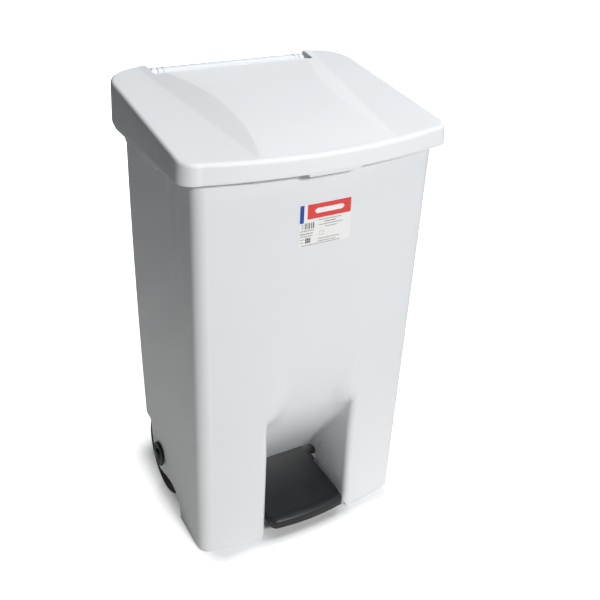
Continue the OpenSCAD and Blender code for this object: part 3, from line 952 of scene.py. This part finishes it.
def pedal_plate():
    half = PEDAL_HALF
    r, rr = 0.013, 0.003
    k = half - r
    rear = -0.014
    pts = [(x, pedal_front(x)) for x in np.linspace(-k, k, 50)[:-1]]
    pts += arc_points(k, pedal_front(k) + r, r, -90, 0, 12)
    pts += [(half, y) for y in np.linspace(pedal_front(k) + r, rear - rr, 50)[1:-1]]
    pts += arc_points(half - rr, rear - rr, rr, 0, 90, 6)
    pts += [(x, rear) for x in np.linspace(half - rr, -half + rr, 44)[1:-1]]
    pts += arc_points(-half + rr, rear - rr, rr, 90, 180, 6)
    pts += [(-half, y) for y in np.linspace(rear - rr, pedal_front(k) + r, 50)[1:-1]]
    pts += arc_points(-k, pedal_front(k) + r, r, 180, 270, 12)[:-1]
    radius = [lerp(0.0075, 0.0024, smooth((y + 0.192) / 0.030)) for x, y in pts]
    bottom = [lerp(0.0245, 0.0300, smooth((y + 0.120) / 0.050)) for x, y in pts]
    creases = [[(x, pedal_front(x) + d) for x in np.arange(-0.066, 0.067, 0.004)]
               for d in (0.0100, 0.0115, 0.0125, 0.0135, 0.0145, 0.0155, 0.0170, 0.0190)]
    skin = cap_mesh("pedal_plate", pts, pedal_height, radius, bottom, 0.0, 0.005, creases, 5)
    return thicken(skin, 0.0035, 0.0006)


def pedal_fittings():
    """The bosses and webs on the pivot rod, the tail's wings and the ribs under the plate."""
    parts = []
    pivot = centre_of("pedal_pivot_rod")
    shoulder = RECESS_HALF - 0.0025
    for side in (-1, 1):
        parts.append(ring_boss("pedal_boss", 0.0043, 0.014, side * 0.069, pivot, side, 0.0008))
        web = [(pivot.y - 0.045, 0.0358), (pivot.y + 0.050, 0.0358), (pivot.y + 0.006, 0.022),
               (pivot.y - 0.006, 0.020)]
        x = side * 0.058
        parts.append(extrude_profile("pedal_web", web, "x", x - 0.0012, x + 0.0012, 0.0004))
        wing = [(0.074, -0.0740), (shoulder, -0.0740), (shoulder, -0.0555), (0.104, -0.0555),
                (0.104, -0.0145), (0.074, -0.0145)]
        wing = [(side * q, y) for q, y in wing]
        parts.append(extrude_profile("pedal_wing", wing[::side], "z", 0.0348, 0.0388, 0.0012))
    for y in (-0.172, -0.122):
        web = [(-0.070, y - 0.001), (0.070, y - 0.001), (0.070, y + 0.001), (-0.070, y + 0.001)]
        parts.append(extrude_profile("pedal_rib", web, "z", 0.0300, 0.0352, 0.0))
    return parts


# ---- Wheels ---------------------------------------------------------------------------------

def wheel_and_tyre(side):
    name = "left" if side < 0 else "right"
    h = (TYRE_HI.x - TYRE_LO.x) / 2
    mid = side * (TYRE_HI.x - h)
    r, ri = WHEEL_R, WHEEL_R - 0.018
    shoulder = [(r - 0.0001, h - 0.0060), (r - 0.0010, h - 0.0024), (r - 0.0032, h - 0.0006),
                (r - 0.009, h), (ri + 0.004, h - 0.0012), (ri, h - 0.003)]
    tyre = [(q, -x) for q, x in shoulder[::-1]]
    for at in (-0.0065, 0.0065):
        tyre += groove(r, at, 0.0018, 0.0010, 0.0016)
    tyre += shoulder
    tread = lathe("tyre_tread_" + name, tyre, mid, AXLE, 120, side, 0.0004)
    finish_piece(tread, "wheel_" + name, TYRE, "tyre", "tyre_" + name)
    b = local_box("wheel_" + name)
    reach = max(abs(b[0].x), abs(b[1].x)) - abs(mid)
    inner = min(abs(b[0].x), abs(b[1].x)) - abs(mid)
    bore = 0.0062
    hub = [(bore, inner), (0.0145, inner), (0.015, inner + 0.008), (0.017, -0.004), (ri - 0.008, -0.0035),
           (ri - 0.0045, -h + 0.004), (ri - 0.0003, -h + 0.0036), (ri - 0.0003, h - 0.0036),
           (ri - 0.0045, h - 0.004), (ri - 0.008, 0.0005), (0.017, 0.0005), (0.015, reach - 0.003),
           (0.0140, reach), (bore, reach)]
    parts = [lathe("hub", hub, mid, AXLE, 96, side, 0.0006)]
    for k in range(6):
        a = math.pi / 3 * k + 0.2
        d, t = Vector((math.cos(a), math.sin(a))), Vector((-math.sin(a), math.cos(a)))
        for s0, s1 in ((0.0, h - 0.006), (-h + 0.006, -0.003)):
            ends = [(0.0135, 0.0022), (ri - 0.004, 0.0014)]
            outline = [d * rad + t * wide for rad, wide in ends]
            outline += [d * rad - t * wide for rad, wide in ends[::-1]]
            prof = [(AXLE.y + p.x, AXLE.z + p.y) for p in outline]
            lo, hi = sorted((mid + side * s0, mid + side * s1))
            parts.append(extrude_profile("spoke", prof, "x", lo, hi, 0.0005))
    hub_obj = join(parts, "wheel_hub_" + name)
    finish_piece(hub_obj, "wheel_" + name, HUB_BLACK, "black_plastic", "wheel_" + name)


def axle_cap(side):
    """A round cap with a domed middle inside a raised ring."""
    name = "left" if side < 0 else "right"
    prof = [(0.0061, 0.0), (0.0150, 0.0), (0.0165, 0.0014), (0.0224, 0.0018), (0.0235, 0.0026),
            (0.0236, 0.0040), (0.0228, 0.0052), (0.0205, 0.0058), (0.0182, 0.0056), (0.0168, 0.0046),
            (0.0155, 0.0038), (0.0132, 0.0036), (0.0120, 0.0042), (0.0110, 0.0062), (0.0102, 0.0082),
            (0.0088, 0.0092), (0.0055, 0.0096), (0.0001, 0.0097), (0.0001, 0.0078), (0.0061, 0.0078)]
    cap = lathe("hub_cap_" + name, prof, side * CAP_LO.x, AXLE, 80, side)
    finish_piece(cap, "bin", BLACK, "black_plastic", "axle_cap_" + name)


# ---- Handle bar -----------------------------------------------------------------------------

def handle():
    """The grip bar, with a groove near each end."""
    end = BAR_HI.x
    r = (BAR_HI.z - BAR_LO.z) / 2 + 0.0022
    prof = [(0.0042, -end), (r - 0.0015, -end), (r, -end + 0.0015)]
    prof += groove(r, -0.139, 0.0012, 0.0008, 0.0014)
    prof += [(r, x) for x in np.linspace(-0.12, 0.12, 25)]
    prof += groove(r, 0.139, 0.0012, 0.0008, 0.0014)
    prof += [(r, end - 0.0015), (r - 0.0015, end), (0.0042, end)]
    bar = lathe("grip_bar", prof, 0.0, HINGE, 72)
    finish_piece(bar, "bin", BAR_WHITE, "body_shell", "handle_bar")


# ---- Label ----------------------------------------------------------------------------------

def on_front(x, z, lift):
    """A point that stands off the front face by lift."""
    return (x, front_y(x, z) - lift, z)


def patch(x0, x1, z0, z1, lift, verts, faces, kinds, kind, corner=0.0):
    """Adds a rectangle that follows the front face, with rounded corners."""
    nx, nz = max(2, int((x1 - x0) / 0.004)), max(2, int((z1 - z0) / 0.004))
    base = len(verts)
    for j in range(nz + 1):
        z = lerp(z0, z1, j / nz)
        d = min(z - z0, z1 - z)
        cut = corner - math.sqrt(max(0.0, corner ** 2 - (corner - d) ** 2)) if d < corner else 0.0
        for i in range(nx + 1):
            verts.append(on_front(lerp(x0 + cut, x1 - cut, i / nx), z, lift))
    for j in range(nz):
        for i in range(nx):
            a = base + j * (nx + 1) + i
            faces.append((a, a + 1, a + nx + 2, a + nx + 1))
            kinds.append(kind)


def label():
    """The paper label with its printed marks: plain bars, dashes, a grid and a ring, no letters."""
    x0, x1, z0, z1 = LABEL_LO.x, LABEL_HI.x, LABEL_LO.z, LABEL_HI.z
    verts, faces, kinds = [], [], []
    patch(x0, x1, z0, z1, 0.0003, verts, faces, kinds, 0, 0.002)
    paper = new_object("label_sheet", verts, faces)
    thick = paper.modifiers.new("sheet", "SOLIDIFY")
    thick.thickness, thick.offset = 0.00015, -1
    freeze(paper)
    finish_piece(paper, "bin", PAPER, "label_paper", "label")
    names = list(INKS)
    verts, faces, kinds = [], [], []

    def mark(u0, u1, w0, w1, ink, lift=0.00042, corner=0.0):
        """A printed mark, placed by fractions across and up the sheet."""
        patch(lerp(x0, x1, u0), lerp(x0, x1, u1), lerp(z0, z1, w0), lerp(z0, z1, w1), lift,
              verts, faces, kinds, names.index(ink), corner)

    mark(0.15, 0.985, 0.64, 0.985, "red")
    mark(0.010, 0.085, 0.57, 0.985, "blue")
    mark(0.28, 0.86, 0.755, 0.875, "white", 0.0005, 0.0045)
    bars = [0.5, 1.1, 0.4, 0.8, 1.4, 0.5, 0.9, 0.4, 1.2, 0.6, 1.0, 0.5, 1.3]
    at = 0.055
    for i, b in enumerate(bars):
        if i % 2 == 0:
            mark(at, at + b * 0.016, 0.415, 0.56, "dark")
        at += b * 0.022
    rows = [(0.37, 0.80, 0.585, "grey"), (0.48, 0.70, 0.525, "dark"), (0.38, 0.84, 0.465, "grey"),
            (0.50, 0.72, 0.405, "grey"), (0.03, 0.28, 0.375, "grey"), (0.02, 0.27, 0.305, "dark"),
            (0.03, 0.26, 0.245, "grey"), (0.03, 0.10, 0.175, "grey"), (0.03, 0.09, 0.105, "grey"),
            (0.37, 0.78, 0.135, "grey"), (0.37, 0.72, 0.075, "grey"), (0.06, 0.80, 0.025, "grey")]
    for r, (u0, u1, w, ink) in enumerate(rows):
        u, k = u0, r
        while u < u1:
            dash = 0.012 + 0.010 * ((k * 7) % 5) / 4
            mark(u, min(u + dash, u1), w - 0.010, w + 0.012, ink)
            u += dash + 0.006
            k += 1
    cells = 7
    s = 0.014
    for i in range(cells):
        for j in range(cells):
            if (i * 5 + j * 3 + i * j) % 3 != 1:
                u, w = 0.125 + i * s, 0.075 + j * s * 1.32
                mark(u, 0.125 + (i + 1) * s, w, 0.075 + (j + 1) * s * 1.32, "dark")
    ring = 28
    for k in range(ring):
        if k % 7 == 6:
            continue
        a0, a1 = 2 * math.pi * k / ring, 2 * math.pi * (k + 0.9) / ring
        cx, cz = lerp(x0, x1, 0.43), lerp(z0, z1, 0.27)
        base = len(verts)
        for a, rad in ((a0, 0.0046), (a1, 0.0046), (a1, 0.0039), (a0, 0.0039)):
            verts.append(on_front(cx + rad * math.cos(a), cz + rad * math.sin(a), 0.00042))
        faces.append((base, base + 1, base + 2, base + 3))
        kinds.append(names.index("grey"))
    marks = new_object("label_print", verts, faces)
    for key in names:
        marks.data.materials.append(INKS[key])
    marks.data.polygons.foreach_set("material_index", kinds)
    marks.data.transform(Matrix.Translation(SHIFT))
    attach(marks, "bin")


# ---- Build ----------------------------------------------------------------------------------

body_parts = [body_shell(), tub_floor()] + wheel_well(-1) + wheel_well(1) + leg_walls() + tub_ribs() + ears()
body = join(body_parts, "body_moulding")
finish_piece(body, "bin", BODY_WHITE, "body_shell", "body")

lid = join([lid_shell()] + lid_fittings(), "lid_moulding")
finish_piece(lid, "lid", LID_WHITE, "lid_shell", "lid")

pedal = join([pedal_plate()] + pedal_fittings(), "pedal_moulding")
finish_piece(pedal, "pedal", BLACK, "black_plastic", "pedal")

for side in (-1, 1):
    wheel_and_tyre(side)
    axle_cap(side)
handle()
label()

CAD_FINISH = [
    (STEEL_X, "axle hinge_pin_left hinge_pin_right lid_link_pin pedal_pivot_rod pivot_nut_left "
              "pivot_nut_right axle_washer_left axle_washer_right"),
    (STEEL_Y, "pedal_lever"),
    (STEEL_Z, "lever_screw_front lever_screw_rear push_rod"),
    (BLACK, "lever_cup rod_eye"),
    (BODY_WHITE, "rod_guide_upper rod_guide_middle rod_guide_lower"),
    (BUFFER, "lid_buffer_left lid_buffer_right"),
]
for material, names in CAD_FINISH:
    for node in names.split():
        obj = frame["nodes"][node]
        obj.data.materials.clear()
        obj.data.materials.append(material)
        add_bevel(obj, 0.0004, 50)


# ---- Stage: pale floor, soft light, camera at the photograph's viewing angle -----------------

def floor_material():
    """Pale matt sweep that goes bright away from the bin and keeps the shade under it."""
    mat, nodes, links, shader, coords = node_material("floor")
    patches = noise_node(nodes, links, coords, 1.2, 3.0, 0.5)
    links.new(ramp(nodes, links, patches, [(0.3, grey(0.88)), (0.7, grey(0.90))]),
              shader.inputs["Base Color"])
    shader.inputs["Roughness"].default_value = 0.8
    shader.inputs["Specular IOR Level"].default_value = 0.2
    split, past = nodes.new("ShaderNodeSeparateXYZ"), nodes.new("ShaderNodeCombineXYZ")
    links.new(coords, split.inputs[0])
    for axis, edge in (("X", 0.165), ("Y", 0.150)):
        size, over, clamp = (nodes.new("ShaderNodeMath") for _ in range(3))
        size.operation, over.operation, clamp.operation = "ABSOLUTE", "SUBTRACT", "MAXIMUM"
        over.inputs[1].default_value, clamp.inputs[1].default_value = edge, 0.0
        links.new(split.outputs[axis], size.inputs[0])
        links.new(size.outputs["Value"], over.inputs[0])
        links.new(over.outputs["Value"], clamp.inputs[0])
        links.new(clamp.outputs["Value"], past.inputs[axis])
    outside = nodes.new("ShaderNodeVectorMath")
    outside.operation = "LENGTH"
    links.new(past.outputs["Vector"], outside.inputs[0])
    glow = ramp(nodes, links, outside.outputs["Value"], [(at, grey(v)) for at, v in GLOW])
    links.new(glow, shader.inputs["Emission Color"])
    shader.inputs["Emission Strength"].default_value = 1.0
    bounce = nodes.new("ShaderNodeBsdfDiffuse")
    returned = ramp(nodes, links, outside.outputs["Value"], BOUNCE)
    links.new(returned, bounce.inputs["Color"])
    path, mix = nodes.new("ShaderNodeLightPath"), nodes.new("ShaderNodeMixShader")
    links.new(path.outputs["Is Camera Ray"], mix.inputs["Fac"])
    links.new(bounce.outputs["BSDF"], mix.inputs[1])
    links.new(shader.outputs["BSDF"], mix.inputs[2])
    links.new(mix.outputs["Shader"], nodes["Material Output"].inputs["Surface"])
    return mat


# How bright the floor is to the camera, and the colour it throws back at the bin, by the distance
# in metres from the bin's footprint.
GLOW = [(0.020, 0.0), (0.055, 0.66), (0.080, 0.86), (0.150, 0.96), (1.0, 1.0)]
BOUNCE = [(0.05, (0.97, 0.955, 0.92, 1)), (0.35, (0.82, 0.81, 0.78, 1)), (1.0, (0.50, 0.50, 0.49, 1))]
floor = new_object("floor", [(-14, -14, 0), (14, -14, 0), (14, 14, 0), (-14, 14, 0)], [(0, 1, 2, 3)], False)
floor.location.z = -0.0004
floor.data.materials.append(floor_material())


def area_light(name, location, target, size, power, colour=(1, 1, 1)):
    light = bpy.data.lights.new(name, "AREA")
    light.shape = "RECTANGLE"
    light.size, light.size_y = size
    light.energy = power
    light.color = colour
    obj = bpy.data.objects.new(name, light)
    obj.location = location
    obj.rotation_euler = (Vector(target) - Vector(location)).to_track_quat("-Z", "Y").to_euler()
    obj.visible_camera = False
    bpy.context.scene.collection.objects.link(obj)
    return obj


area_light("key_front", (0.3, -3.3, 2.4), (0, 0, 0.45), (1.0, 0.5), 104)
area_light("top", (0.9, -0.2, 3.1), (0.1, 0, 0.6), (1.6, 1.6), 39, (0.955, 0.98, 1.0))
area_light("rear", (1.2, 3.3, 1.1), (0, 0, 0.42), (1.3, 1.0), 52)
area_light("rear_right", (3.0, 1.6, 1.8), (0, 0, 0.5), (1.6, 1.6), 10)
area_light("fill_left", (-3.0, 0.4, 0.8), (0, 0, 0.5), (1.6, 1.6), 0.7, (0.60, 0.80, 1.0))
area_light("low_left", (-0.78, -0.15, 0.06), (-0.2, -0.05, 0.16), (0.5, 0.1), 0.20, (1.0, 0.98, 0.93))

world = bpy.data.worlds.new("studio")
world.use_nodes = True
bpy.context.scene.world = world
wn, wl = world.node_tree.nodes, world.node_tree.links
wn.clear()
seen, lit = wn.new("ShaderNodeBackground"), wn.new("ShaderNodeBackground")
seen.inputs["Color"].default_value = (1, 1, 1, 1)
seen.inputs["Strength"].default_value = 1.0
lit.inputs["Color"].default_value = (0.78, 0.90, 1.0, 1)
lit.inputs["Strength"].default_value = 0.04
path, choose = wn.new("ShaderNodeLightPath"), wn.new("ShaderNodeMixShader")
out = wn.new("ShaderNodeOutputWorld")
wl.new(path.outputs["Is Camera Ray"], choose.inputs["Fac"])
wl.new(lit.outputs["Background"], choose.inputs[1])
wl.new(seen.outputs["Background"], choose.inputs[2])
wl.new(choose.outputs["Shader"], out.inputs["Surface"])
bpy.context.scene.view_settings.view_transform = "Standard"
bpy.context.scene.view_settings.look = "None"

# The photograph was cropped off centre, so at its viewpoint the lens is shifted. The shift has a
# driver that drops it wherever else the camera is put.
AZIMUTH, ELEVATION, ROLL = math.radians(-29.3), math.radians(20.1), math.radians(1.8)
AIM = Vector((0.0373, 0.0, 0.6792)) + SHIFT
DISTANCE = 1.5737
LENS = 51.32
LENS_SHIFT = (0.0212, -0.2385)

cam_data = bpy.data.cameras.new("camera")
cam = bpy.data.objects.new("camera", cam_data)
bpy.context.scene.collection.objects.link(cam)
level = math.cos(ELEVATION)
back = Vector((math.sin(AZIMUTH) * level, -math.cos(AZIMUTH) * level, math.sin(ELEVATION)))
side_v = Vector((math.cos(AZIMUTH), math.sin(AZIMUTH), 0))
up_v = back.cross(side_v)
right_v = side_v * math.cos(ROLL) + up_v * math.sin(ROLL)
top_v = up_v * math.cos(ROLL) - side_v * math.sin(ROLL)
rotation = Matrix((right_v, top_v, back)).transposed()
cam.location = AIM + back * DISTANCE
cam.rotation_mode = "XYZ"
cam.rotation_euler = rotation.to_euler("XYZ")
cam_data.sensor_width = 36.0
cam_data.lens = LENS
for key, value in zip(("shift_x", "shift_y"), LENS_SHIFT):
    driver = cam_data.driver_add(key).driver
    driver.type = "SCRIPTED"
    spot = driver.variables.new()
    spot.name = "at"
    spot.type = "SINGLE_PROP"
    spot.targets[0].id = cam
    spot.targets[0].data_path = "location[0]"
    driver.expression = f"{value} if abs(at - ({cam.location.x:.6f})) < 0.0005 else 0.0"
bpy.context.scene.camera = cam

bpy.context.view_layer.update()
